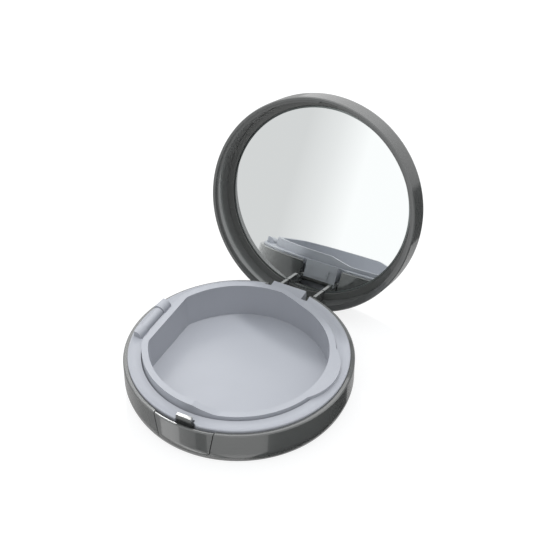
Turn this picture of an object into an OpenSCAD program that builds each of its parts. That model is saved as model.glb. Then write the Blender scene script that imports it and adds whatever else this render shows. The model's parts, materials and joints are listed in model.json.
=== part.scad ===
// Round hinged palette compact: a base with a press latch and a lift-out well,
// and a lid with a mirror. It stands on its foot, lid open.
// Origin: centre of the foot's underside. +X right, -Y front (latch), +Z up.

/* [Case] */
// Outer radius of the base and of the lid
case_r = 39; // [32:0.5:50]
// Height of the base, from the table to its rim
base_h = 13; // [12:0.25:18]
// Thickness of the lid, from its rim to its back
lid_h = 13; // [12.6:0.2:18]
// Thickness of the outer walls
wall_t = 1.4; // [1.2:0.1:2]
// Gap between the two rims with the lid shut
rim_gap = 0.4; // [0.3:0.05:0.8]
// Small bevel round the rims
rim_bevel = 0.35; // [0.2:0.05:0.5]

/* [Foot] */
// Height of the foot cover's rim
foot_h = 2.6; // [2:0.1:3.5]
// Thickness of the foot cover's floor
foot_floor_t = 1.4; // [1:0.1:2]
// How far the underside is drawn in from the outer wall
foot_inset = 1.75; // [1:0.05:2.5]
// Height over which the wall curves in to the underside
foot_curve_h = 5.2; // [4:0.2:7]
// Depth of the groove between the foot cover and the base
groove_depth = 0.45; // [0.2:0.05:0.8]
// Height of that groove
groove_h = 0.3; // [0.2:0.05:0.6]

/* [Lid back] */
// How far the lid's back is drawn in from its wall
back_inset = 2.2; // [1:0.1:3]
// Depth over which the lid's wall curves in to its back
back_curve_h = 4.8; // [4:0.2:7]

/* [Inner ring] */
// Gap between the inner ring and the case wall
ring_gap = 0.2; // [0.1:0.05:0.4]
// How far the ring's outer edge stands above the base's rim
ring_rise = 0.15; // [0:0.05:0.25]
// How far the ring's inner edge stands above the base's rim
ring_inner_rise = 0.5; // [0.3:0.05:0.8]
// Depth of the shallow dish round the ring's top
ring_dish = 0.35; // [0.1:0.05:0.5]
// Thickness of the ring's flange below the base's rim
flange_t = 1.4; // [1:0.1:2]
// Thickness of the ring's skirt
skirt_t = 1.2; // [1:0.1:1.6]

/* [Well] */
// Inside radius of the well
well_r = 30.4; // [24:0.2:40]
// Distance from the centre to the inside of the well's flat wall
well_flat = 27.6; // [20:0.2:37]
// Thickness of the well's wall
well_wall_t = 2.2; // [1.4:0.1:3]
// Thickness of the well's floor
well_floor_t = 1; // [0.8:0.1:1.6]
// Radius of the cove round the well's floor
well_cove_r = 3.6; // [1:0.2:5]
// Inside corner radius at the ends of the flat wall
well_corner_r = 4; // [2:0.5:8]
// How far the high side of the well stands above the base's rim
well_high = 4.2; // [2:0.1:4.6]
// How far the low side of the well stands above the base's rim
well_low = 2.3; // [1.4:0.1:2.6]
// Where the rim's slope starts, from the centre towards the right
slope_x = 0.4; // [-4:0.2:4]
// Steepness of the rim's slope
slope_angle = 13.5; // [8:0.5:30]
// Running gap between the well and the ring
well_gap = 0.25; // [0.15:0.05:0.4]
// How far the grip tab stands out from the well
tab_out = 2.6; // [1.5:0.1:2.6]
// Radius of the grip tab's rounded outline
tab_r = 18.5; // [12:0.5:22]
// Direction of the grip tab, from the right towards the back
tab_angle = 4; // [-10:1:20]
// Thickness of the grip tab
tab_t = 1.2; // [0.8:0.1:1.4]
// How far the well lifts while the lid is shut
well_lift = 2; // [1:0.25:2.2]

/* [Cover hinge] */
// Radius of the two knuckles at the left
knuckle_r = 2.3; // [1.8:0.1:2.6]
// Length of each knuckle
knuckle_l = 4.5; // [3:0.25:6]
// Distance from the centre to the hinge bar
bar_x = 34.5; // [27.5:0.1:45.5]
// Radius of the hinge bar
bar_r = 1.85; // [1.4:0.05:2]
// Length of the hinge bar between the knuckles
bar_l = 10.4; // [8:0.2:14]
// Radius of the bar's end journals
journal_r = 0.9; // [0.6:0.05:1.2]
// Length of each journal
journal_l = 1.6; // [1:0.1:2.4]

/* [Press latch] */
// Half the angle that the press panel spans at the rim
press_top_a = 16.2; // [12:0.2:20]
// Half the angle that the press panel spans at its foot
press_low_a = 13.6; // [10:0.2:18]
// Gap round the press panel
press_gap = 0.3; // [0.2:0.05:0.5]
// Corner radius at the foot of the press panel
press_corner_r = 1.8; // [1:0.2:3]
// Travel of the press panel
press_travel = 0.7; // [0.6:0.05:0.8]
// Width of the hook
hook_w = 5.4; // [4:0.2:7]
// How far the hook stands above the base's rim
hook_h = 2.8; // [2.2:0.1:3.2]
// Height of the hook's lip
hook_lip_h = 1.65; // [1.3:0.05:1.8]
// Depth of the hook's lip
hook_lip_d = 1.35; // [1:0.05:1.8]
// How far the lip reaches into the lid's wall
hook_bite = 0.4; // [0.2:0.05:0.6]
// Outer radius of the return spring
spring_r = 1.4; // [1:0.1:1.8]
// Radius of the spring's wire
wire_r = 0.16; // [0.12:0.02:0.24]
// Number of spring coils
spring_turns = 4; // [3:1:6]

/* [Main hinge] */
// Distance from the centre to the hinge pin
hinge_y = 36; // [29:0.1:47]
// Height of the hinge pin
hinge_z = 7.1; // [6.6:0.1:9]
// Angle between the lid shut and the lid open
open_angle = 108.6; // [90:0.2:112]
// Radius of the hinge pin
pin_r = 0.6; // [0.5:0.05:0.75]
// Running clearance round the pin, on the radius
pin_clear = 0.05; // [0.02:0.01:0.1]
// Radius of the barrel between the cheeks
barrel_r = 1.25; // [1.1:0.05:1.5]
// Length of the barrel
barrel_l = 13.3; // [10:0.1:18]
// Thickness of each hinge cheek
cheek_t = 1.1; // [0.8:0.1:1.6]
// Side gap between the lid's hinge and the base
cheek_gap = 0.4; // [0.25:0.05:0.6]
// Distance from the centre to the cheeks' inner edge, in the lid
cheek_y = 32.8; // [26:0.1:43]
// Clearance of the open lid above the table
table_clear = 0.12; // [0.05:0.01:0.3]

/* [Mirror] */
// Depth of the mirror below the lid's rim
mirror_depth = 10.9; // [10:0.1:14]
// Radius of the mirror
mirror_r = 35.5; // [28:0.1:46]
// Thickness of the mirror
mirror_t = 0.9; // [0.7:0.1:1.2]
// Thickness of the adhesive pad behind the mirror
pad_t = 0.2; // [0.1:0.05:0.3]
// Inside radius of the mirror frame
frame_r = 33.1; // [26:0.1:44]
// Depth of the frame's outer shoulder below the lid's rim
shoulder_d = 3.9; // [3:0.1:6]
// Thickness of the mirror frame
frame_t = 1.1; // [0.9:0.1:1.5]

/* [Hidden] */
$fn = 96;

shell_colour = "#6f706f";
liner_colour = "#b9bdc6";
steel_colour = "#b8bbbe";
mirror_colour = "#dfe5e8";
pad_colour = "#e9e6de";

// Small overlap that keeps joined and cut faces from coinciding
eps = 0.05;
// Longer than any piece
big = 4 * case_r;
// How the curve from a wall to its end tightens
curve_power = 1.65;
curve_steps = 6;
corner_steps = 5;

// Base: wall, floor and the ledge that carries the ring
inner_r = case_r - wall_t;
groove_r = case_r - foot_inset * pow(1 - foot_h / foot_curve_h, curve_power) - groove_depth;
spigot_r = groove_r - 1.4;
spigot_gap = 0.1;
cavity_h = 0.6;
floor_t = 1.1;
floor_z = foot_floor_t + cavity_h;
floor_top = floor_z + floor_t;
ledge_z = base_h - flange_t;
ledge_w = 0.7;
ledge_t = 1.2;

// Well and the hole in the ring that it drops into
well_out_r = well_r + well_wall_t;
well_out_flat = well_flat + well_wall_t;
well_z = floor_top + 0.1;
well_floor_z = well_z + well_floor_t;
hole_r = well_out_r + well_gap;
hole_flat = well_out_flat + well_gap;
hole_corner_r = well_corner_r + well_wall_t + well_gap;
skirt_r = hole_r + skirt_t;
slope_round_top = 1.5;
slope_round_low = 10;

// Ring
ring_r = inner_r - ring_gap;
ring_top = base_h + ring_rise;
ring_inner_top = base_h + ring_inner_rise;
edge_round = 0.35;

// Main hinge: the lid's two cheeks stand each side of the ring's tongue
cheek_in = barrel_l / 2;
cheek_out = cheek_in + cheek_t;
neck_half = 1.3;
cheek_end_r = barrel_r + 0.35;
hinge_clear = 0.3;
notch_half = cheek_out + cheek_gap;
notch_y = hinge_y - cheek_end_r - hinge_clear;
notch_z = hinge_z - cheek_end_r - hinge_clear - (case_r - hinge_y) * tan(open_angle - 90);
ring_notch_half = notch_half + 0.55;
block_w = 3.6;
block_rise = 2.2;
pin_l = 2 * (notch_half + block_w - 0.4);
press_fit = 0.01;

// Tongue at the back of the ring, with its raised T
tongue_half = cheek_in - 0.25;
tongue_z = hinge_z + barrel_r + hinge_clear;
tongue_y = case_r - 1;
tongue_lip_y = hinge_y + barrel_r + 0.2;
tongue_lip_z = hinge_z + 0.3;
tee_y = case_r - 0.55;
tee_bar_h = 1.7;
tee_stem_half = 3.1;
tee_stem_z = tongue_lip_z + 1;

// Lid, described shut and then swung open about the hinge pin
lid_z = base_h + rim_gap;
lid_top = lid_z + lid_h;
lid_inner_r = case_r - 2.05;
mirror_z = lid_z + mirror_depth;
mirror_back_z = mirror_z + mirror_t;
lid_floor_z = mirror_back_z + pad_t;
seat_gap = 0.1;
rear_relief = 0.6;

// Press latch: panel, hook and the lid's catch
panel_in_r = case_r - 1.1;
panel_z = foot_h + groove_h + 0.1;
panel_land_r = ring_r + press_travel + 0.1;
panel_step_z = base_h - 0.9;
panel_step_h = 1.1;
step_gap = 0.15;
rib_in_r = inner_r - 1.5;
rib_half = 8.2;
wing_half = 13;
wing_low = floor_top + 1.1;
wing_high = ledge_z - ledge_t - ledge_w - 0.3;
hook_half = hook_w / 2;
hook_front = lid_inner_r + hook_bite;
hook_back = hook_front - hook_lip_d;
hook_top = base_h + hook_h;
hook_lip_z = hook_top - hook_lip_h;
hook_neck = 0.65;
catch_half = hook_half + 0.7;
catch_depth = 1.2;
catch_h = 5.6;
catch_ledge = hook_lip_z - 0.1;
spring_z = (wing_low + wing_high) / 2;
spring_pocket_y = panel_in_r - 0.4;
wire_sides = 6;
turn_steps = 14;

// Cover hinge
knuckle_y = bar_l / 2 + 0.1;
knuckle_trim_r = lid_inner_r - 0.3;
journal_fit = 0.02;

// Block from one corner to the opposite one
module block(low, high) {
    translate(low) cube(high - low);
}

// Round bar along X, centred
module bar_x_axis(r, length) {
    rotate([0, 90, 0]) cylinder(r = r, h = length, center = true);
}

// Round bar along Y from one place to another
module bar_y_axis(r, from, to) {
    translate([0, from, 0]) rotate([-90, 0, 0]) cylinder(r = r, h = to - from);
}

// Plate in the YZ plane, from x = from to x = to
module yz_plate(points, from, to) {
    translate([from, 0, 0]) rotate([90, 0, 90]) linear_extrude(to - from) polygon(points);
}

// Radius of the base's outside at a height above the table
function base_side_r(z) =
    case_r - foot_inset * pow(max(0, 1 - z / foot_curve_h), curve_power);

// Points up the base's outside between two heights
function base_side(low, high) =
    [for (i = [0:curve_steps]) let (z = low + (high - low) * i / curve_steps)
        [base_side_r(z), z]];

// Points from the lid's wall round to its back
function lid_side() =
    [for (i = [0:curve_steps]) let (t = i / curve_steps)
        [case_r - back_inset * pow(t, curve_power), lid_top - back_curve_h * (1 - t)]];

// Outside of the base wall from its foot edge to its bevelled rim
function wall_outside() = concat(
    base_side(foot_h + groove_h, foot_curve_h),
    [[case_r, base_h - rim_bevel], [case_r - rim_bevel, base_h]]);

// Circle with a flat at the left whose two corners are rounded
module flatted_disc(r, flat, corner) {
    corner_y = sqrt(pow(r - corner, 2) - pow(flat - corner, 2));
    lean = atan2(corner_y, flat - corner);
    far = r + 1;
    difference() {
        intersection() {
            circle(r = r);
            translate([-flat, -r]) square([flat + r, 2 * r]);
        }
        for (side = [-1, 1])
            difference() {
                polygon([[corner - flat, side * corner_y], [-flat - 1, side * corner_y],
                         [-flat - 1, side * far], [-far * cos(lean), side * far * sin(lean)]]);
                translate([corner - flat, side * corner_y]) circle(r = corner);
            }
    }
}

// Prism of that outline between two heights
module flatted_prism(r, flat, corner, low, high) {
    translate([0, 0, low]) linear_extrude(high - low) flatted_disc(r, flat, corner);
}

// Front view of the press panel, grown all round by a gap
module press_outline(grow) {
    low = panel_z - grow;
    high = base_h + 1;
    low_x = case_r * sin(press_low_a) + grow;
    high_x = case_r * sin(press_top_a) + grow;
    lean = atan2(high_x - low_x, high - low);
    corner = press_corner_r + grow;
    corner_x = low_x - corner * (1 - sin(lean)) / cos(lean);
    right = [for (i = [0:corner_steps]) let (a = (90 + lean) * i / corner_steps - 90)
        [corner_x + corner * cos(a), low + corner * (1 + sin(a))]];
    polygon(concat(
        [for (p = right) p], [[high_x, high], [-high_x, high]],
        [for (i = [corner_steps:-1:0]) [-right[i][0], right[i][1]]]));
}

// Prism through the front wall, with the press panel's outline
module press_prism(grow) {
    translate([0, -skirt_r - 1, 0])
        rotate([90, 0, 0]) linear_extrude(big / 4) press_outline(grow);
}

module foot_cover() {
    color(shell_colour)
        rotate_extrude()
            polygon(concat([[0, 0]], base_side(0, foot_h),
                [[spigot_r + spigot_gap, foot_h], [spigot_r + spigot_gap, foot_floor_t],
                 [0, foot_floor_t]]));
}

// Cup with a rebate and a ledge for the ring
module base_cup() {
    rotate_extrude()
        polygon(concat([[0, floor_z], [spigot_r, floor_z], [spigot_r, foot_h],
                        [groove_r, foot_h], [groove_r, foot_h + groove_h]],
            wall_outside(),
            [[inner_r, base_h], [inner_r, ledge_z], [inner_r - ledge_w, ledge_z],
             [inner_r - ledge_w, ledge_z - ledge_t], [inner_r, ledge_z - ledge_t - ledge_w],
             [inner_r, floor_top], [0, floor_top]]));
}

// Two blocks at the back that hold the ends of the hinge pin
module pin_blocks() {
    intersection() {
        cylinder(r = inner_r + eps, h = base_h);
        for (side = [-1, 1])
            block([side > 0 ? notch_half : -notch_half - block_w, notch_y, floor_top - eps],
                  [side > 0 ? notch_half + block_w : -notch_half, case_r, hinge_z + block_rise]);
    }
}

module base_shell() {
    color(shell_colour)
        difference() {
            union() {
                base_cup();
                pin_blocks();
            }
            press_prism(press_gap);
            block([-notch_half, notch_y, notch_z], [notch_half, big, base_h + 1]);
            translate([0, hinge_y, hinge_z])
                bar_x_axis(pin_r + press_fit, 2 * (notch_half + block_w + 1));
        }
}

// Top of the ring, from its rounded outer edge over the dish to the well's edge
function ring_top_points(steps = 10) = concat(
    [[ring_r, ledge_z], [ring_r, ring_top - edge_round],
     [ring_r - edge_round * 0.3, ring_top - edge_round * 0.3],
     [ring_r - edge_round, ring_top]],
    [for (i = [1:steps]) let (t = i / steps,
            outer = ring_r - edge_round, inner = hole_r + edge_round / 2)
        [outer + (inner - outer) * t,
         ring_top + (ring_inner_top - ring_top) * t - ring_dish * 4 * t * (1 - t)]],
    [[hole_r, ring_inner_top - edge_round / 2]]);

// Pad and knuckles that carry the cover's hinge bar
module knuckles() {
    intersection() {
        cylinder(r = knuckle_trim_r, h = big);
        union() {
            for (side = [-1, 1])
                translate([-bar_x, 0, base_h])
                    bar_y_axis(knuckle_r, side > 0 ? knuckle_y : -knuckle_y - knuckle_l,
                               side > 0 ? knuckle_y + knuckle_l : -knuckle_y);
            block([-bar_x - knuckle_r, -knuckle_y - knuckle_l, base_h - knuckle_r - 0.4],
                  [-bar_x + knuckle_r, knuckle_y + knuckle_l, ledge_z + eps]);
        }
    }
}

// Tongue over the hinge barrel, with a raised T on its outside
module tongue() {
    block([-tongue_half, skirt_r - skirt_t, tongue_z], [tongue_half, tongue_y, ring_top]);
    block([-tongue_half, tongue_lip_y, tongue_lip_z],
          [tongue_half, tongue_y, tongue_z + eps]);
    block([-tongue_half, tongue_y - eps, ring_top - tee_bar_h], [tongue_half, tee_y, ring_top]);
    block([-tee_stem_half, tongue_y - eps, tee_stem_z],
          [tee_stem_half, tee_y, ring_top - tee_bar_h + eps]);
}

module inner_ring() {
    hook_room = hook_back - press_travel - hinge_clear;
    hook_side = hook_half + 0.35;
    color(liner_colour)
        difference() {
            union() {
                difference() {
                    rotate_extrude()
                        polygon(concat([[0, ledge_z]], ring_top_points(),
                            [[0, ring_inner_top - edge_round / 2]]));
                    block([-ring_notch_half, notch_y, 0], [ring_notch_half, big, big]);
                }
                flatted_prism(skirt_r, hole_flat + skirt_t, hole_corner_r + skirt_t,
                              floor_top, ledge_z + eps);
                knuckles();
                tongue();
            }
            flatted_prism(hole_r, hole_flat, hole_corner_r, floor_top - 1, base_h + 1);
            block([-hook_side, -big, ledge_z - 1], [hook_side, -hook_room, base_h + 1]);
            front_ring(case_r, inner_r - press_travel - step_gap, wing_half,
                       ledge_z - 1, panel_step_z + step_gap);
            translate([0, 0, ledge_z - 1])
                linear_extrude(big)
                    polygon([[hook_side - eps, -hook_back], [hook_side + 1.7, -hook_front],
                             [hook_side + 1.7, -case_r], [hook_side - eps, -case_r]]);
            translate([-bar_x, 0, base_h]) {
                bar_y_axis(bar_r + 0.15, -knuckle_y, knuckle_y);
                bar_y_axis(journal_r + journal_fit, -bar_l / 2 - journal_l - 0.1,
                           bar_l / 2 + journal_l + 0.1);
            }
        }
}

// Side view of what the well's rim loses on its low side
function slope_points() = let (
    drop = well_high - well_low,
    run = (drop - (slope_round_top + slope_round_low) * (1 - cos(slope_angle)))
        / tan(slope_angle),
    top_z = base_h + well_high,
    low_z = base_h + well_low,
    low_x = slope_x + (slope_round_top + slope_round_low) * sin(slope_angle) + run)
    concat(
        [for (i = [0:5]) let (a = slope_angle * i / 5)
            [slope_x + slope_round_top * sin(a), top_z - slope_round_top * (1 - cos(a))]],
        [for (i = [8:-1:0]) let (a = slope_angle * i / 8)
            [low_x - slope_round_low * sin(a), low_z + slope_round_low * (1 - cos(a))]]);

// Cove between the well's floor and its round wall
module well_cove() {
    intersection() {
        flatted_prism(well_r + eps, well_flat + eps, well_corner_r + eps,
                      well_floor_z - eps, base_h);
        rotate_extrude()
            difference() {
                translate([well_r - well_cove_r, well_floor_z - eps])
                    square([well_cove_r + well_wall_t / 2, well_cove_r + eps]);
                translate([well_r - well_cove_r, well_floor_z + well_cove_r])
                    circle(r = well_cove_r);
            }
    }
}

module well() {
    tab_x = well_out_r + tab_out - tab_r;
    tab_z = base_h + well_low;
    color(liner_colour) {
        difference() {
            union() {
                flatted_prism(well_out_r, well_out_flat, well_corner_r + well_wall_t,
                              well_z, base_h + well_high);
                rotate([0, 0, tab_angle])
                    translate([tab_x, 0, tab_z - tab_t]) cylinder(r = tab_r, h = tab_t);
            }
            flatted_prism(well_r, well_flat, well_corner_r, well_floor_z, base_h + well_high + 1);
            translate([0, big / 2, 0])
                rotate([90, 0, 0])
                    linear_extrude(big)
                        polygon(concat([[slope_x, base_h + well_high + 1]], slope_points(),
                            [[big, base_h + well_low], [big, base_h + well_high + 1]]));
        }
        well_cove();
    }
}

// Wall of the press panel, flush with the base
module press_panel() {
    intersection() {
        rotate_extrude()
            polygon(concat(wall_outside(),
                [[panel_land_r, base_h], [panel_land_r, panel_step_z], [inner_r, panel_step_z],
                 [inner_r, panel_step_z - panel_step_h],
                 [panel_in_r, panel_step_z - panel_step_h - 0.3],
                 [panel_in_r, foot_h + groove_h]]));
        press_prism(0);
    }
}

// Part of a ring inside the front wall
module front_ring(r_out, r_in, half, low, high) {
    intersection() {
        translate([0, 0, low])
            difference() {
                cylinder(r = r_out, h = high - low);
                translate([0, 0, -1]) cylinder(r = r_in, h = high - low + 2);
            }
        block([-half, -case_r, low - 1], [half, 0, high + 1]);
    }
}

module press_button() {
    color(shell_colour)
        difference() {
            union() {
                press_panel();
                front_ring(panel_in_r + eps, rib_in_r, rib_half, wing_low, wing_high);
                front_ring(inner_r - hinge_clear, rib_in_r, wing_half, wing_low, wing_high);
                block([-hook_half, -panel_in_r, wing_high - eps],
                      [hook_half, -hook_back, ledge_z - 0.3]);
                block([-hook_half, hook_neck - hook_front, wing_high],
                      [hook_half, -hook_back, hook_lip_z + eps]);
                block([-hook_half, -hook_front, hook_lip_z], [hook_half, -hook_back, hook_top]);
            }
            translate([0, 0, spring_z])
                bar_y_axis(spring_r + 0.25, -spring_pocket_y, -rib_in_r + 1);
        }
}

// Points of one ring of the spring's wire, at a share t of its length
function wire_ring(t, coil_r, start, pitch_l) =
    let (a = 360 * spring_turns * t, y = start + pitch_l * t)
    [for (k = [0:wire_sides - 1]) let (b = 360 * k / wire_sides, r = coil_r + wire_r * cos(b))
        [r * cos(a), y + wire_r * sin(b), r * sin(a)]];

module button_spring() {
    steps = spring_turns * turn_steps;
    start = -spring_pocket_y + wire_r + 0.02;
    length = spring_pocket_y - skirt_r - 2 * wire_r - 0.04;
    coil_r = spring_r - wire_r;
    points = [for (i = [0:steps]) each wire_ring(i / steps, coil_r, start, length)];
    last = steps * wire_sides;
    color(steel_colour)
        translate([0, 0, spring_z])
            polyhedron(points, concat(
                [[for (k = [0:wire_sides - 1]) k]],
                [[for (k = [wire_sides - 1:-1:0]) last + k]],
                [for (i = [0:steps - 1]) for (k = [0:wire_sides - 1])
                    let (a = i * wire_sides, n = (k + 1) % wire_sides)
                    [a + k, a + wire_sides + k, a + wire_sides + n, a + n]]));
}

module cover_hinge_bar() {
    color(liner_colour)
        translate([-bar_x, 0, base_h]) {
            bar_y_axis(bar_r, -bar_l / 2, bar_l / 2);
            bar_y_axis(journal_r, -bar_l / 2 - journal_l, bar_l / 2 + journal_l);
        }
}

module hinge_pin() {
    color(steel_colour)
        translate([0, hinge_y, hinge_z]) bar_x_axis(pin_r, pin_l);
}

// Swings a shut lid piece open about the hinge pin
module opened() {
    translate([0, hinge_y, hinge_z])
        rotate([-open_angle, 0, 0])
            translate([0, -hinge_y, -hinge_z]) children();
}

// Lid's cup, with a seat round the mirror
module lid_cup() {
    rotate_extrude()
        polygon(concat([[lid_inner_r + rim_bevel / 2, lid_z], [case_r - rim_bevel, lid_z],
                        [case_r, lid_z + rim_bevel]],
            lid_side(),
            [[0, lid_top], [0, lid_floor_z], [mirror_r + seat_gap, lid_floor_z],
             [mirror_r + seat_gap, mirror_z], [lid_inner_r, mirror_z],
             [lid_inner_r, lid_z + rim_bevel / 2]]));
}

// One cheek in side view: broad inside the lid, with a neck down to the pin
function cheek_points() = let (wall_y = lid_inner_r + 0.45, step_z = lid_z + rear_relief)
    [[cheek_y, step_z], [cheek_y, mirror_z - eps], [wall_y, mirror_z - eps], [wall_y, lid_z],
     [hinge_y + neck_half, lid_z - 0.2], [hinge_y + neck_half, hinge_z],
     [hinge_y - neck_half, hinge_z], [hinge_y - neck_half, step_z]];

module hinge_lug() {
    difference() {
        union() {
            yz_plate(cheek_points(), -cheek_out, -cheek_in);
            yz_plate(cheek_points(), cheek_in, cheek_out);
            translate([0, hinge_y, hinge_z]) {
                bar_x_axis(barrel_r, barrel_l + 2 * eps);
                for (side = [-1, 1])
                    translate([side * (cheek_in + cheek_out) / 2, 0, 0])
                        bar_x_axis(cheek_end_r, cheek_t);
            }
        }
        translate([0, hinge_y, hinge_z]) bar_x_axis(pin_r + pin_clear, big);
    }
}

module lid_shell() {
    color(shell_colour)
        difference() {
            opened() {
                difference() {
                    lid_cup();
                    block([-catch_half, -lid_inner_r - catch_depth, catch_ledge],
                          [catch_half, 1 - lid_inner_r, lid_z + catch_h]);
                    block([-cheek_in, hinge_y, lid_z - 1], [cheek_in, big, lid_z + rear_relief]);
                }
                hinge_lug();
            }
            block([-case_r, hinge_y, -big], [case_r, big, table_clear]);
        }
}

module mirror_frame() {
    out_r = lid_inner_r - eps;
    face_z = lid_z + shoulder_d;
    back_z = mirror_z - eps;
    brow_r = frame_r + 1.8;
    color(shell_colour)
        opened()
            difference() {
                rotate_extrude()
                    polygon([[out_r, face_z], [brow_r, face_z + 0.6],
                             [frame_r + 0.6, face_z + 1], [frame_r, face_z + 1.6],
                             [frame_r, back_z], [frame_r + frame_t, back_z],
                             [frame_r + frame_t, face_z + 2.4], [brow_r, face_z + 1.7],
                             [out_r - frame_t, face_z + 1.4], [out_r - frame_t, back_z],
                             [out_r, back_z]]);
                block([-cheek_out - 0.1, 0, lid_z], [cheek_out + 0.1, big, mirror_z + 1]);
                block([-catch_half, -big, lid_z], [catch_half, 1.3 - lid_inner_r, lid_z + catch_h]);
            }
}

module mirror() {
    color(mirror_colour)
        opened() translate([0, 0, mirror_z]) cylinder(r = mirror_r, h = mirror_t);
}

module mirror_pad() {
    color(pad_colour)
        opened() translate([0, 0, mirror_back_z]) cylinder(r = mirror_r - 1, h = pad_t);
}

foot_cover();
base_shell();
inner_ring();
well();
press_button();
button_spring();
cover_hinge_bar();
hinge_pin();
lid_shell();
mirror_frame();
mirror();
mirror_pad();
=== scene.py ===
# %% [markdown]
# # A round palette compact, built in Blender
# The object is a shallow round case. Its lid carries a mirror and swings on a steel pin
# at the back. A press panel at the front works a small hook that holds the lid shut. In
# the case sits a pale ring, and in the ring a pan that lifts out by a tab.
# The construction model says where every piece is. This script dresses it: fine edges,
# plastics, mirror glass and steel, then a floor, soft lamps and a camera.

# %% Load the frame
import json
import math

import bpy
import bmesh
from mathutils import Matrix, Vector

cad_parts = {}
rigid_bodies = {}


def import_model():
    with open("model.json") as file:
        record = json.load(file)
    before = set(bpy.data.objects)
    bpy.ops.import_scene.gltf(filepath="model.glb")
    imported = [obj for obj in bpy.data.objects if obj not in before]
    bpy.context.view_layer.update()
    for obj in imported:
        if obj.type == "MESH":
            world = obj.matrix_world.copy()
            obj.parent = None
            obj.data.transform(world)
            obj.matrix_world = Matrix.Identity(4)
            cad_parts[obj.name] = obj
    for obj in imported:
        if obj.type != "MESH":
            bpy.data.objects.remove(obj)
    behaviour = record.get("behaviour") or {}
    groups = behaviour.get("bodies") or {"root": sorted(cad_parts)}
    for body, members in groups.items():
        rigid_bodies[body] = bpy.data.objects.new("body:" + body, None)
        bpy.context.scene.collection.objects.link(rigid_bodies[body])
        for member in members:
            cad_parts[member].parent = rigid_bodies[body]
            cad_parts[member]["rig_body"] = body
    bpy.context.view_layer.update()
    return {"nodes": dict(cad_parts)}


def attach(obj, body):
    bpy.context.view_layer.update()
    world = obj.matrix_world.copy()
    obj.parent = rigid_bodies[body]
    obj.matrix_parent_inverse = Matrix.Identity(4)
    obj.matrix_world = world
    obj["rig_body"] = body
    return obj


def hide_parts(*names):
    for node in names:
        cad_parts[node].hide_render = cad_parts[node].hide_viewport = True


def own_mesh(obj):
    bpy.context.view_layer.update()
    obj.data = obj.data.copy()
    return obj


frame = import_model()
MM = 0.001

# %% [markdown]
# ## Small helpers
# Colours are written as sRGB hex values, as a paint chart gives them, and turned to the
# linear light that a renderer adds up. One function adds a node with its settings and
# its links, so each material reads as a list of what feeds what.

# %% Colour and node helpers
def linear(code):
    """sRGB hex text to linear red, green, blue and alpha."""
    parts = [int(code[i:i + 2], 16) / 255 for i in (1, 3, 5)]
    return [c / 12.92 if c <= 0.04045 else ((c + 0.055) / 1.055) ** 2.4 for c in parts] + [1.0]


def add(tree, kind, settings=None, inputs=None):
    """Adds a node. An input is a value, or another node's output to link."""
    node = tree.nodes.new(kind)
    for key, value in (settings or {}).items():
        setattr(node, key, value)
    for key, value in (inputs or {}).items():
        if isinstance(value, bpy.types.NodeSocket):
            tree.links.new(value, node.inputs[key])
        else:
            node.inputs[key].default_value = value
    return node


def new_material(name):
    """An empty node material and its tree."""
    made = bpy.data.materials.new(name)
    made.use_nodes = True
    made.node_tree.nodes.clear()
    return made, made.node_tree


# %% [markdown]
# ## Moulded plastic
# The case, foot, press panel and lid are one dark grey plastic, moulded in a polished
# steel tool and then lacquered. The lacquer is what shows the studio as crisp bands, so
# it is a clear coat over a duller plastic. The pale ring and pan come from a tool with a
# fine satin finish and have no lacquer, so their highlights are broad and soft. Handling
# dulls both a little in soft patches. A painted picture of all this would stretch on the
# curved walls, so the pattern is noise placed in real millimetres. A mould's own grain is
# finer than a tenth of a millimetre and wouldn't show, so it is drawn at about a half. The
# mirror's tray is the case's plastic a little darker, with a thinner lacquer.

# %% Plastic material
LACQUER_ROUGH = 0.03


def moulded_plastic(name, colour, shade, rough, rough_spread, spot_mm, grain_mm, grain_depth,
                    lacquer=0.0):
    """Injection-moulded plastic: two close shades, patchy gloss, fine grain, clear lacquer."""
    made, tree = new_material(name)
    place = add(tree, "ShaderNodeTexCoord").outputs["Object"]
    patches = add(tree, "ShaderNodeTexNoise", {}, {
        "Vector": place, "Scale": 1 / (spot_mm * MM), "Detail": 3.0, "Roughness": 0.55})
    tint = add(tree, "ShaderNodeMix", {"data_type": "RGBA"}, {
        0: patches.outputs["Fac"], 6: linear(colour), 7: linear(shade)})
    gloss = add(tree, "ShaderNodeMapRange", {}, {
        "Value": patches.outputs["Fac"], "From Min": 0.3, "From Max": 0.7,
        "To Min": rough - rough_spread, "To Max": rough + rough_spread})
    grain = add(tree, "ShaderNodeTexNoise", {}, {
        "Vector": place, "Scale": 1 / (grain_mm * MM), "Detail": 1.0})
    skin = add(tree, "ShaderNodeBump", {}, {
        "Height": grain.outputs["Fac"], "Strength": 0.3, "Distance": grain_depth * MM})
    surface = add(tree, "ShaderNodeBsdfPrincipled", {}, {
        "Base Color": tint.outputs[2], "Roughness": gloss.outputs["Result"],
        "IOR": 1.53, "Normal": skin.outputs["Normal"],
        "Coat Weight": lacquer, "Coat Roughness": LACQUER_ROUGH, "Coat IOR": 1.5})
    add(tree, "ShaderNodeOutputMaterial", {}, {"Surface": surface.outputs["BSDF"]})
    return made


case_abs = moulded_plastic("lacquered_dark_abs", "#5b5c5b", "#575857", 0.24, 0.03, 14,
                           0.5, 0.0006, lacquer=1.0)
lid_abs = moulded_plastic("dark_abs_lid_tray", "#585957", "#545553", 0.28, 0.03, 14,
                          0.5, 0.0006, lacquer=0.6)
liner_abs = moulded_plastic("satin_pale_abs", "#adafb5", "#a9abb1", 0.32, 0.04, 12,
                            0.4, 0.003)
print("plastics:", case_abs.name, lid_abs.name, liner_abs.name)

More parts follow.
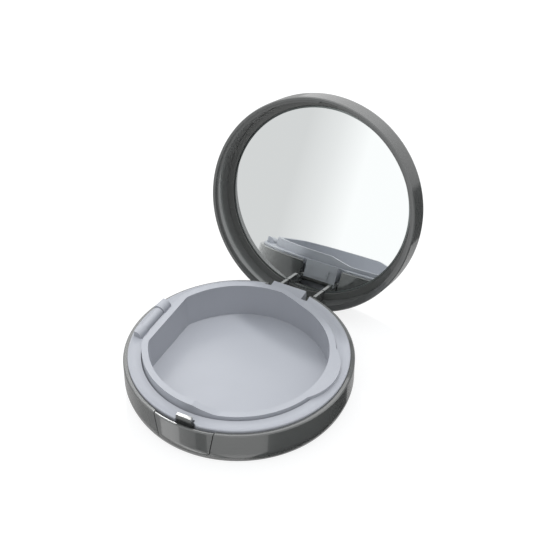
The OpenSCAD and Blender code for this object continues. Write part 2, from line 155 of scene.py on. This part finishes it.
# %% [markdown]
# ## Mirror, steel and foam
# The mirror is silvered float glass: a clean reflecting layer with a greenish ground
# edge. The pin is drawn steel with fine lines round it, the spring is oiled wire, and the
# pad behind the mirror is white foam tape. The steel's lines and the edge's scores are
# drawn coarser than real ones, which would be too fine to see.

# %% Other materials
def silvered_glass():
    """Mirror: clean silver seen through glass, with a trace of haze."""
    made, tree = new_material("silvered_float_glass")
    place = add(tree, "ShaderNodeTexCoord").outputs["Object"]
    haze = add(tree, "ShaderNodeTexNoise", {}, {
        "Vector": place, "Scale": 1 / (18 * MM), "Detail": 4.0})
    film = add(tree, "ShaderNodeMapRange", {}, {
        "Value": haze.outputs["Fac"], "From Min": 0.35, "From Max": 0.75,
        "To Min": 0.008, "To Max": 0.02})
    surface = add(tree, "ShaderNodeBsdfPrincipled", {}, {
        "Base Color": linear("#f2f5f5"), "Metallic": 1.0, "Roughness": film.outputs["Result"]})
    add(tree, "ShaderNodeOutputMaterial", {}, {"Surface": surface.outputs["BSDF"]})
    return made


def ground_glass():
    """Edge of the glass as the grinding wheel leaves it: dull, grey and faintly green."""
    made, tree = new_material("ground_glass_edge")
    place = add(tree, "ShaderNodeTexCoord").outputs["Object"]
    scores = add(tree, "ShaderNodeTexNoise", {}, {
        "Vector": place, "Scale": 1 / (0.3 * MM), "Detail": 3.0})
    dull = add(tree, "ShaderNodeMapRange", {}, {
        "Value": scores.outputs["Fac"], "To Min": 0.28, "To Max": 0.42})
    surface = add(tree, "ShaderNodeBsdfPrincipled", {}, {
        "Base Color": linear("#8f9594"), "Metallic": 0.8, "Roughness": dull.outputs["Result"]})
    add(tree, "ShaderNodeOutputMaterial", {}, {"Surface": surface.outputs["BSDF"]})
    return made


def drawn_steel(name, colour, rough, line_mm):
    """Steel with fine lines, close across the piece and long round it."""
    made, tree = new_material(name)
    place = add(tree, "ShaderNodeTexCoord").outputs["Object"]
    stretch = add(tree, "ShaderNodeMapping", {}, {"Vector": place, "Scale": (1, 12, 12)})
    lines = add(tree, "ShaderNodeTexNoise", {}, {
        "Vector": stretch.outputs["Vector"], "Scale": 1 / (line_mm * MM), "Detail": 2.0})
    polish = add(tree, "ShaderNodeMapRange", {}, {
        "Value": lines.outputs["Fac"], "To Min": rough - 0.06, "To Max": rough + 0.08})
    surface = add(tree, "ShaderNodeBsdfPrincipled", {}, {
        "Base Color": linear(colour), "Metallic": 1.0, "Roughness": polish.outputs["Result"]})
    add(tree, "ShaderNodeOutputMaterial", {}, {"Surface": surface.outputs["BSDF"]})
    return made


def foam_tape():
    """Closed foam: matt and pale, with the cells as small dents."""
    made, tree = new_material("white_foam_tape")
    place = add(tree, "ShaderNodeTexCoord").outputs["Object"]
    cells = add(tree, "ShaderNodeTexVoronoi", {}, {"Vector": place, "Scale": 1 / (0.4 * MM)})
    dents = add(tree, "ShaderNodeBump", {}, {
        "Height": cells.outputs["Distance"], "Strength": 0.5, "Distance": 0.05 * MM})
    surface = add(tree, "ShaderNodeBsdfPrincipled", {}, {
        "Base Color": linear("#e9e6de"), "Roughness": 0.85, "Normal": dents.outputs["Normal"]})
    add(tree, "ShaderNodeOutputMaterial", {}, {"Surface": surface.outputs["BSDF"]})
    return made


mirror_glass = silvered_glass()
edge_glass = ground_glass()
pin_steel = drawn_steel("drawn_steel_pin", "#b8bbbe", 0.28, 0.6)
wire_steel = drawn_steel("oiled_spring_wire", "#a9acb0", 0.32, 0.4)
foam = foam_tape()
print("others:", mirror_glass.name, edge_glass.name, pin_steel.name, wire_steel.name, foam.name)

# %% [markdown]
# ## Turning and cutting
# The round pieces of such a case come from tools that are turned on a lathe, and what passes
# through them is cut square. The same two acts make shapes here: an outline turned about the
# upright axis gives a solid, and a solid can be cut out of a piece. Lengths are in
# millimetres.

# %% Solids and cuts
SIDES = 192


def linked(name, mesh):
    """Object in the scene that shows a mesh."""
    obj = bpy.data.objects.new(name, mesh)
    bpy.context.scene.collection.objects.link(obj)
    return obj


def finish_mesh(obj):
    """Bakes an object's modifiers into a plain mesh."""
    depsgraph = bpy.context.evaluated_depsgraph_get()
    baked = bpy.data.meshes.new_from_object(obj.evaluated_get(depsgraph))
    obj.modifiers.clear()
    obj.data = baked
    return obj


def turned(name, outline, material):
    """Solid turned about the Z axis from an outline of radii and heights in millimetres."""
    shape = bmesh.new()
    rings = []
    for radius, height in outline:
        spots = 1 if radius == 0 else SIDES
        rings.append([shape.verts.new((radius * MM * math.cos(math.tau * k / SIDES),
                                       radius * MM * math.sin(math.tau * k / SIDES),
                                       height * MM)) for k in range(spots)])
    joins = list(zip(rings, rings[1:])) + ([(rings[-1], rings[0])] if outline[0][0] else [])
    for ring, other in joins:
        for k in range(SIDES):
            corners = [ring[k % len(ring)], ring[(k + 1) % len(ring)],
                       other[(k + 1) % len(other)], other[k % len(other)]]
            shape.faces.new(list(dict.fromkeys(corners)))
    bmesh.ops.recalc_face_normals(shape, faces=shape.faces)
    mesh = bpy.data.meshes.new(name)
    shape.to_mesh(mesh)
    shape.free()
    mesh.materials.append(material)
    return linked(name, mesh)


def block(low, high):
    """Block from a low corner to a high one, in millimetres."""
    mesh = bpy.data.meshes.new("block")
    shape = bmesh.new()
    bmesh.ops.create_cube(shape, size=1)
    for vert in shape.verts:
        vert.co = [(a if c < 0 else b) * MM for a, b, c in zip(low, high, vert.co)]
    shape.to_mesh(mesh)
    shape.free()
    return linked("block", mesh)


def cut(obj, cutters):
    """Cuts other solids out of a piece and throws them away."""
    for cutter in cutters:
        step = obj.modifiers.new("cut", "BOOLEAN")
        step.operation = "DIFFERENCE"
        step.solver = "EXACT"
        step.object = cutter
        finish_mesh(obj)
        bpy.data.objects.remove(cutter)


# %% [markdown]
# ## Fine edges
# A mould can't make a knife edge, so every edge of a moulded piece is slightly rounded,
# and that round is what catches the light. Each construction piece is copied, its loose
# triangles are welded and its flat faces joined again, and a bevel rounds the edges. The
# foot cover, pressed on from below, and the case above it are the first two.

# %% Rounded copies
WELD = 0.002 * MM
ONE_FLAT = math.radians(0.6)
EDGE_ANGLE = math.radians(30)


def rounded_copy(name, node, material, edge_mm, turns=2, trim=None, cutters=()):
    """A welded copy of a construction piece with rounded edges, standing for it."""
    body = frame["nodes"][node]["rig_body"]
    mesh = frame["nodes"][node].data.copy()
    shape = bmesh.new()
    shape.from_mesh(mesh)
    bmesh.ops.remove_doubles(shape, verts=shape.verts, dist=WELD)
    bmesh.ops.dissolve_limit(shape, angle_limit=ONE_FLAT, verts=shape.verts,
                             edges=shape.edges, use_dissolve_boundaries=False)
    if trim:
        for vert in shape.verts:
            vert.co = trim(vert.co)
    shape.to_mesh(mesh)
    shape.free()
    mesh.materials.clear()
    mesh.materials.append(material)
    for face in mesh.polygons:
        face.use_smooth = True
    obj = linked(name, mesh)
    cut(obj, cutters)
    bevel = obj.modifiers.new("edges", "BEVEL")
    bevel.width = edge_mm * MM
    bevel.segments = turns
    bevel.limit_method = "ANGLE"
    bevel.angle_limit = EDGE_ANGLE
    bevel.harden_normals = False
    bevel.use_clamp_overlap = True
    normals = obj.modifiers.new("flats", "WEIGHTED_NORMAL")
    normals.keep_sharp = True
    normals.weight = 80
    finish_mesh(obj)
    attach(obj, body)
    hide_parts(node)
    print(name, len(obj.data.polygons), "faces")
    return obj


def box_of(node):
    """Lowest and highest corner of a construction piece."""
    holder = frame["nodes"][node]
    spots = [holder.matrix_world @ vert.co for vert in holder.data.vertices]
    return (Vector([min(spot[k] for spot in spots) for k in range(3)]),
            Vector([max(spot[k] for spot in spots) for k in range(3)]))


rounded_copy("foot", "foot_cover", case_abs, 0.12)
rounded_copy("case", "base_shell", case_abs, 0.12)

# %% [markdown]
# ## Ring
# The pale ring lines the case round the pan. The tongue at the back, the knuckles of
# the cover bar and the hook's slot are moulded in one with it. Its top stands a millimetre
# above the case's rim and laps over it by a hair, which hides the joint. The top of the
# ring's copy is lifted for that, more at its outside than at the pan.

# %% Raised ring
CASE_TOP = box_of("base_shell")[1].z
CASE_R = box_of("base_shell")[1].x
CASE_WALL = 1.6 * MM
RING_R = CASE_R - CASE_WALL
HOLE_R = 32.9 * MM
RIM_LIFT = 0.85 * MM
HOLE_LIFT = 0.4 * MM
RIM_LAP = 0.08 * MM
TOP_BAND = 0.3 * MM
EDGE_IN = 0.1 * MM
EDGE_REACH = 0.2 * MM


def proud(spot):
    """Lifts a spot of the ring's top above the case's rim, and laps its edge over the rim."""
    if spot.z < CASE_TOP - TOP_BAND:
        return spot
    away = math.hypot(spot.x, spot.y)
    share = min(1.0, max(0.0, (away - HOLE_R) / (RING_R - HOLE_R)))
    lift = HOLE_LIFT + (RIM_LIFT - HOLE_LIFT) * share
    moved = Vector((spot.x, spot.y, spot.z + lift))
    if away > RING_R - EDGE_IN and abs(away - RING_R) < EDGE_REACH:
        moved.xy *= 1 + RIM_LAP / away
    return moved


rounded_copy("liner_ring", "inner_ring", liner_abs, 0.15, trim=proud)

# %% [markdown]
# ## Pan
# The pan is a shallow round dish with one flat side and a tab to lift it out by. Its wall
# meets its floor in a sharp corner, as the end of a steel core leaves it. The construction
# model has a round there, so the room inside the pan is drawn as a solid, in millimetres,
# and cut out of the pan's copy.

# %% Pan with its sharp floor
WELL_R = 30.4
WELL_FLAT = 27.6
WELL_CORNER = 4.0
WELL_FLOOR = 4.2
FLOOR_SKIM = 0.01
ROOM_TOP = 19
HALF_STEPS = 90
CORNER_STEPS = 8


def pan_room():
    """Room inside the pan: a disc with a flat side and rounded corners, down to the floor."""
    depth = WELL_FLAT - WELL_CORNER
    corner_y = math.sqrt((WELL_R - WELL_CORNER) ** 2 - depth ** 2)
    turn_out = math.pi - math.atan2(corner_y, depth)
    wall = [(WELL_R * math.cos(turn_out * k / HALF_STEPS),
             WELL_R * math.sin(turn_out * k / HALF_STEPS))
            for k in range(-HALF_STEPS, HALF_STEPS + 1)]
    bend_turns = [turn_out + (math.pi - turn_out) * k / CORNER_STEPS
                  for k in range(1, CORNER_STEPS + 1)]
    bend = [(WELL_CORNER * math.cos(turn) - depth, WELL_CORNER * math.sin(turn) + corner_y)
            for turn in bend_turns]
    outline = wall + bend + [(x, -y) for x, y in reversed(bend)]
    low = (WELL_FLOOR - FLOOR_SKIM) * MM
    shape = bmesh.new()
    floor_face = shape.faces.new([shape.verts.new((x * MM, y * MM, low)) for x, y in outline])
    raised = bmesh.ops.extrude_face_region(shape, geom=[floor_face])["geom"]
    for part in raised:
        if isinstance(part, bmesh.types.BMVert):
            part.co.z = ROOM_TOP * MM
    bmesh.ops.recalc_face_normals(shape, faces=shape.faces)
    mesh = bpy.data.meshes.new("room")
    shape.to_mesh(mesh)
    shape.free()
    return linked("room", mesh)


rounded_copy("pan", "well", liner_abs, 0.22, turns=3, cutters=[pan_room()])

# %% [markdown]
# ## Press panel, cover bar, pin and pad
# The press panel is a piece of the case's wall that slides in a window. The cover bar is a
# thin rod between the ring's knuckles for an inner cover to clip to, so it is lifted as
# they are. The steel hinge pin and the foam pad keep their construction shapes, because
# almost nothing of them is seen.

# %% Panel, bar, pin and pad
BAR_LIFT = Vector((0, 0, (RIM_LIFT + HOLE_LIFT) / 2))
rounded_copy("press_panel", "press_button", case_abs, 0.12)
rounded_copy("cover_bar", "cover_hinge_bar", liner_abs, 0.12,
             trim=lambda spot: spot + BAR_LIFT)
for node, finish in (("hinge_pin", pin_steel), ("mirror_pad", foam)):
    holder = frame["nodes"][node]
    holder.data.materials.clear()
    holder.data.materials.append(finish)
    print(node, "in", finish.name)

# %% [markdown]
# ## Lid
# The lid is moulded like the case. The ring stands above the case, so the lid's rim has a
# step on its inside that drops over the ring. A moulder turns it in the tool. Here it is
# cut out of the lid's copy, before its edges are rounded, by a turned ring that leaves out
# the place where the hinge cheeks stand, and by a block where the lid passes the tongue.
# The cutters are drawn with the lid shut and then swung open about the pin.

# %% Lid with its step
pin_low, pin_high = box_of("hinge_pin")
PIN = (pin_low + pin_high) / 2
OPEN_ANGLE = math.radians(108.6)
swing = (Matrix.Translation(PIN) @ Matrix.Rotation(-OPEN_ANGLE, 4, "X")
         @ Matrix.Translation(-PIN))

RIM_Z = 13.4
STEP_IN_R = 36
STEP_R = 37.9
STEP_LOW = 12
STEP_TOP = RIM_Z + 0.95
BEHIND = 40
CHEEKS_LOW = (-8.2, 30, STEP_LOW - 1)
CHEEKS_HIGH = (8.2, BEHIND, 16)
TONGUE_LOW = (-6.6, 36.2, STEP_LOW)
TONGUE_HIGH = (6.6, BEHIND, RIM_Z + 1.1)
step_ring = turned("step", [(STEP_IN_R, STEP_LOW), (STEP_R, STEP_LOW), (STEP_R, STEP_TOP),
                            (STEP_IN_R, STEP_TOP)], case_abs)
cut(step_ring, [block(CHEEKS_LOW, CHEEKS_HIGH)])
tongue_way = block(TONGUE_LOW, TONGUE_HIGH)
for cutter in (step_ring, tongue_way):
    cutter.data.transform(swing)
rounded_copy("lid", "lid_shell", case_abs, 0.12, cutters=[step_ring, tongue_way])

# %% [markdown]
# ## Mirror and its tray
# The mirror is a round plate whose edge is ground to a narrow slope, bonded into a shallow
# moulded tray that fills the lid. Both are round, so each is an outline turned about the
# lid's axis. They are drawn with the lid shut, cut where the two hinge cheeks pass, and
# then swung open about the pin, just as the cutters of the lid are.

# %% Turned pieces
MIRROR_R = 34.4
MIRROR_T = 0.9
GROUND_W = 0.6
GROUND_H = 0.2
MIRROR_FACE = 21.8
TRAY_R = 36.9
TRAY_BACK = 25.15
SHOULDER_R = 35.5
SHOULDER_Z = 24.25
CHEEK_X = 7.2
CHEEK_HALF = 0.65
CHEEK_FRONT = 32.7
SLOT_LOW, SLOT_HIGH = 20, 26
GLUE = 0.05
EDGE_GAP = 0.15
LIP = 0.1
FACING_UP = 0.99
glass_back = MIRROR_FACE + MIRROR_T
tray_face = MIRROR_FACE - LIP
recess_r = MIRROR_R + EDGE_GAP
plate_outline = [(0, MIRROR_FACE), (MIRROR_R - GROUND_W, MIRROR_FACE),
                 (MIRROR_R, MIRROR_FACE + GROUND_H), (MIRROR_R, glass_back), (0, glass_back)]
tray_outline = [(0, glass_back + GLUE), (recess_r, glass_back + GLUE),
                (recess_r, MIRROR_FACE), (recess_r + LIP, tray_face), (TRAY_R, tray_face),
                (TRAY_R, SHOULDER_Z), (SHOULDER_R, SHOULDER_Z), (SHOULDER_R, TRAY_BACK),
                (0, TRAY_BACK)]
for name, outline, finish, node, slot in (
        ("mirror_plate", plate_outline, mirror_glass, "mirror", "mirror"),
        ("mirror_tray", tray_outline, lid_abs, "mirror_frame", "lid_liner")):
    made = turned(name, outline, finish)
    cut(made, [block((side * CHEEK_X - CHEEK_HALF, CHEEK_FRONT, SLOT_LOW),
                     (side * CHEEK_X + CHEEK_HALF, BEHIND, SLOT_HIGH))
               for side in (-1, 1)])
    if node == "mirror":
        made.data.materials.append(edge_glass)
        for face in made.data.polygons:
            face.material_index = 0 if abs(face.normal.z) > FACING_UP else 1
    made.data.transform(swing)
    if node == "mirror_frame":
        for face in made.data.polygons:
            face.use_smooth = True
        made.data.set_sharp_from_angle(angle=math.radians(30))
    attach(made, "lid")
    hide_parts(node)
    print(name, len(made.data.polygons), "faces")

# %% [markdown]
# ## Return spring
# Behind the press panel sits a small coil spring. Wire is wound along a helix, so the
# spring is a helix that a round wire follows, with a closed ring at each end. A node tree
# draws it from the wire, the coil and the number of turns, and the result is a mesh.

# %% Spring from geometry nodes
spring_low, spring_high = box_of("button_spring")
WIRE_R = 0.16 * MM
SPRING_SIZES = {"Wire radius": WIRE_R,
                "Coil radius": (spring_high.x - spring_low.x) / 2 - WIRE_R,
                "Length": spring_high.y - spring_low.y - 2 * WIRE_R,
                "Turns": 4.0}
COIL_STEPS = 28
WIRE_SIDES = 10


def spring_tree(material):
    """Node tree of a coil spring along +Y from the origin, with closed ends."""
    tree = bpy.data.node_groups.new("coil_spring", "GeometryNodeTree")
    for label in SPRING_SIZES:
        tree.interface.new_socket(label, in_out="INPUT", socket_type="NodeSocketFloat")
    tree.interface.new_socket("Mesh", in_out="OUTPUT", socket_type="NodeSocketGeometry")
    sizes = add(tree, "NodeGroupInput").outputs
    helix = add(tree, "GeometryNodeCurveSpiral", {}, {
        "Resolution": COIL_STEPS, "Rotations": sizes["Turns"],
        "Start Radius": sizes["Coil radius"], "End Radius": sizes["Coil radius"],
        "Height": sizes["Length"]})
    near = add(tree, "GeometryNodeCurvePrimitiveCircle", {}, {
        "Resolution": COIL_STEPS, "Radius": sizes["Coil radius"]})
    rise = add(tree, "ShaderNodeCombineXYZ", {}, {"Z": sizes["Length"]})
    far = add(tree, "GeometryNodeTransform", {}, {
        "Geometry": near.outputs["Curve"], "Translation": rise.outputs["Vector"]})
    path = add(tree, "GeometryNodeJoinGeometry", {}, {"Geometry": helix.outputs["Curve"]})
    tree.links.new(near.outputs["Curve"], path.inputs["Geometry"])
    tree.links.new(far.outputs["Geometry"], path.inputs["Geometry"])
    wire = add(tree, "GeometryNodeCurvePrimitiveCircle", {}, {
        "Resolution": WIRE_SIDES, "Radius": sizes["Wire radius"]})
    swept = add(tree, "GeometryNodeCurveToMesh", {}, {
        "Curve": path.outputs["Geometry"], "Profile Curve": wire.outputs["Curve"],
        "Fill Caps": True})
    laid = add(tree, "GeometryNodeTransform", {}, {
        "Geometry": swept.outputs["Mesh"], "Rotation": (-math.pi / 2, 0, 0)})
    real = add(tree, "GeometryNodeRealizeInstances", {}, {"Geometry": laid.outputs["Geometry"]})
    painted = add(tree, "GeometryNodeSetMaterial", {}, {
        "Geometry": real.outputs["Geometry"], "Material": material})
    add(tree, "NodeGroupOutput", {}, {"Mesh": painted.outputs["Geometry"]})
    return tree


def grown(name, tree, sizes):
    """Mesh object that a node tree makes from its named sizes."""
    obj = linked(name, bpy.data.meshes.new(name))
    nodes = obj.modifiers.new("nodes", "NODES")
    nodes.node_group = tree
    sockets = {item.name: item.identifier for item in tree.interface.items_tree
               if item.in_out == "INPUT"}
    for label, value in sizes.items():
        nodes[sockets[label]] = value
    return finish_mesh(obj)


spring = grown("return_spring", spring_tree(wire_steel), SPRING_SIZES)
middle = (spring_low + spring_high) / 2
spring.data.transform(Matrix.Translation((middle.x, spring_low.y + WIRE_R, middle.z)))
for face in spring.data.polygons:
    face.use_smooth = True
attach(spring, "base")
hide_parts("button_spring")
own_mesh(spring)
print("return_spring", len(spring.data.polygons), "faces")

# %% [markdown]
# ## Floor and light
# Small glossy goods are shown on a white table, under one small soft lamp, with tall cards
# standing round them that the gloss picks up as upright bands. The floor and the world are
# white to the camera, and the floor keeps the object's soft shadow.

# %% Floor
def white_floor(name, colour, glow, catch):
    """Diffuse pale floor that the camera sees as white but for the object's shadow."""
    made, tree = new_material(name)
    rays = add(tree, "ShaderNodeLightPath")
    table = add(tree, "ShaderNodeBsdfDiffuse", {}, {"Color": linear(colour)})
    clear = add(tree, "ShaderNodeBsdfTransparent")
    bounced = add(tree, "ShaderNodeMixShader", {}, {
        0: rays.outputs["Is Glossy Ray"], 1: table.outputs["BSDF"], 2: clear.outputs["BSDF"]})
    white = add(tree, "ShaderNodeEmission", {}, {"Color": (1, 1, 1, 1), "Strength": glow})
    shade = add(tree, "ShaderNodeBsdfDiffuse", {}, {"Color": (catch, catch, catch, 1)})
    shown = add(tree, "ShaderNodeAddShader", {}, {0: white.outputs["Emission"],
                                                  1: shade.outputs["BSDF"]})
    seen = add(tree, "ShaderNodeMixShader", {}, {
        0: rays.outputs["Is Camera Ray"], 1: bounced.outputs["Shader"],
        2: shown.outputs["Shader"]})
    add(tree, "ShaderNodeOutputMaterial", {}, {"Surface": seen.outputs["Shader"]})
    return made


def plane(name, size, height, material):
    """Square level sheet at a height."""
    mesh = bpy.data.meshes.new(name)
    half = size / 2
    mesh.from_pydata([(-half, -half, height), (half, -half, height), (half, half, height),
                      (-half, half, height)], [], [(0, 1, 2, 3)])
    mesh.materials.append(material)
    return linked(name, mesh)


FLOOR_SIZE = 3.0
FLOOR_Z = -0.02 * MM
floor = plane("floor", FLOOR_SIZE, FLOOR_Z,
              white_floor("pale_floor", "#f4f4f2", glow=0.82, catch=0.25))
print("floor:", FLOOR_SIZE, "m square")

# %% [markdown]
# ## Cards round the table
# The cards are painted on the world and only gloss sees them. Plain light comes from a pale
# grey sky that grows brighter overhead. Below the horizon are the feet of the cards, which
# the upright walls mirror. Near the horizon the mirror glass looks out between a grey card
# and a white one. Above is the white ceiling, bright towards the back, which lights every
# rim. A colour ramp holds levels up to 1, so they are stored as shares of the brightest.

# %% World
world = bpy.data.worlds.new("studio")
world.use_nodes = True
bpy.context.scene.world = world
tree = world.node_tree
tree.nodes.clear()
BRIGHTEST = 4


def cards(tree, turn, steps, interpolation="CONSTANT"):
    """Grey levels round the horizon: each step starts at an angle in degrees."""
    ramp = add(tree, "ShaderNodeValToRGB", {}, {"Fac": turn})
    ramp.color_ramp.interpolation = interpolation
    stops = ramp.color_ramp.elements
    while len(stops) > 1:
        stops.remove(stops[-1])
    for index, (angle, level) in enumerate(steps):
        stop = stops[0] if index == 0 else stops.new((angle + 180) / 360)
        stop.position = (angle + 180) / 360
        stop.color = (*[level / BRIGHTEST] * 3, 1)
    return ramp.outputs["Color"]


way = add(tree, "ShaderNodeSeparateXYZ", {}, {
    0: add(tree, "ShaderNodeTexCoord").outputs["Generated"]})
angle = add(tree, "ShaderNodeMath", {"operation": "ARCTAN2"}, {
    0: way.outputs["Y"], 1: way.outputs["X"]})
turn = add(tree, "ShaderNodeMapRange", {}, {
    "Value": angle.outputs[0], "From Min": -math.pi, "From Max": math.pi}).outputs["Result"]
feet = cards(tree, turn, [(-180, 0.35), (-148, 1.35), (-126, 0.5), (-108, 0.03), (-96, 0.82),
                          (-34, 0.0), (74, 0.4)])
eye_line = cards(tree, turn, [(-180, 0.73), (-110.5, 0.73), (-108.5, 1.08), (-40, 1.08),
                              (-36, 0.3), (60, 0.3), (90, 0.73), (180, 0.73)], "LINEAR")
ceiling = cards(tree, turn, [(-180, 1.2), (0, 1.6), (60, 2.0), (170, 1.6)])
low_edge = add(tree, "ShaderNodeMapRange", {}, {
    "Value": way.outputs["Z"], "From Min": -0.30, "From Max": -0.26})
high_edge = add(tree, "ShaderNodeMapRange", {}, {
    "Value": way.outputs["Z"], "From Min": 0.28, "From Max": 0.36})
lower = add(tree, "ShaderNodeMix", {"data_type": "RGBA"}, {
    0: low_edge.outputs["Result"], 6: feet, 7: eye_line})
around = add(tree, "ShaderNodeMix", {"data_type": "RGBA"}, {
    0: high_edge.outputs["Result"], 6: lower.outputs[2], 7: ceiling})
rays = add(tree, "ShaderNodeLightPath")
overhead = add(tree, "ShaderNodeMapRange", {}, {
    "Value": way.outputs["Z"], "From Min": 0.0, "To Min": 0.1, "To Max": 2.05})
sky = add(tree, "ShaderNodeBackground", {}, {
    "Color": linear("#d3d6d9"), "Strength": overhead.outputs["Result"]})
banded = add(tree, "ShaderNodeBackground", {}, {
    "Color": around.outputs[2], "Strength": BRIGHTEST})
bright = add(tree, "ShaderNodeBackground", {}, {"Color": (1, 1, 1, 1), "Strength": 1.0})
gloss = add(tree, "ShaderNodeMixShader", {}, {
    0: rays.outputs["Is Glossy Ray"], 1: sky.outputs["Background"],
    2: banded.outputs["Background"]})
mix = add(tree, "ShaderNodeMixShader", {}, {
    0: rays.outputs["Is Camera Ray"], 1: gloss.outputs["Shader"],
    2: bright.outputs["Background"]})
add(tree, "ShaderNodeOutputWorld", {}, {"Surface": mix.outputs["Shader"]})
print("world nodes:", len(tree.nodes))

# %% [markdown]
# ## Window lamp
# One small soft lamp stands at the back left, so the open lid shades the right of the pan.
# Gloss doesn't see it, and a weak second lamp in the same place gives the glint that it
# would. The ring and the pan are no shade makers for it, as if a card held over them filled
# their own shade. The lid, the mirror and its tray, the case, the foot and the press panel
# are.

# %% Lamps
def soft_lamp(name, turn, tilt, reach, size, watts):
    """Square area lamp at an angle round the object and above the table, aimed at it."""
    data = bpy.data.lights.new(name, "AREA")
    data.shape = "SQUARE"
    data.size = size
    data.energy = watts
    lamp = linked(name, data)
    flat = reach * math.cos(math.radians(tilt))
    lamp.location = (flat * math.cos(math.radians(turn)), flat * math.sin(math.radians(turn)),
                     reach * math.sin(math.radians(tilt)))
    lamp.rotation_mode = "QUATERNION"
    lamp.rotation_quaternion = (-lamp.location).to_track_quat("-Z", "Y")
    return lamp


window_place = {"turn": 126, "tilt": 48, "reach": 1.0, "size": 0.06}
window = soft_lamp("back_left_window", watts=4.4, **window_place)
window.visible_glossy = False
glint = soft_lamp("back_left_glint", watts=0.15, **window_place)
glint.visible_diffuse = False
shading = bpy.data.collections.new("shade_makers")
for name in ("lid", "mirror_tray", "mirror_plate", "case", "foot", "press_panel"):
    shading.objects.link(bpy.data.objects[name])
window.light_linking.blocker_collection = shading
print("lamps:", window.name, glint.name)

# %% [markdown]
# ## Camera
# A long lens from the front right, a little under 40 degrees above the table, shows the
# pan's floor, the press panel and the mirror at once.

# %% Camera
AZIMUTH = math.radians(27.377)
ELEVATION = math.radians(38.695)
CAMERA_MM = (159.2, -287.4, 313.3)
right = Vector((math.cos(AZIMUTH), math.sin(AZIMUTH), 0))
ahead = Vector((-math.sin(AZIMUTH) * math.cos(ELEVATION),
                math.cos(AZIMUTH) * math.cos(ELEVATION), -math.sin(ELEVATION)))
up = right.cross(ahead)
LENS_MM = 89.06
camera_data = bpy.data.cameras.new("camera")
camera_data.sensor_width = 36
camera_data.lens = LENS_MM
camera_data.clip_start = 0.01
camera = linked("camera", camera_data)
facing = Matrix((right, up, -ahead)).transposed().to_4x4()
camera.matrix_world = Matrix.Translation(Vector(CAMERA_MM) * MM) @ facing
bpy.context.scene.camera = camera
bpy.context.scene.view_settings.view_transform = "Standard"
print("camera:", LENS_MM, "mm lens")
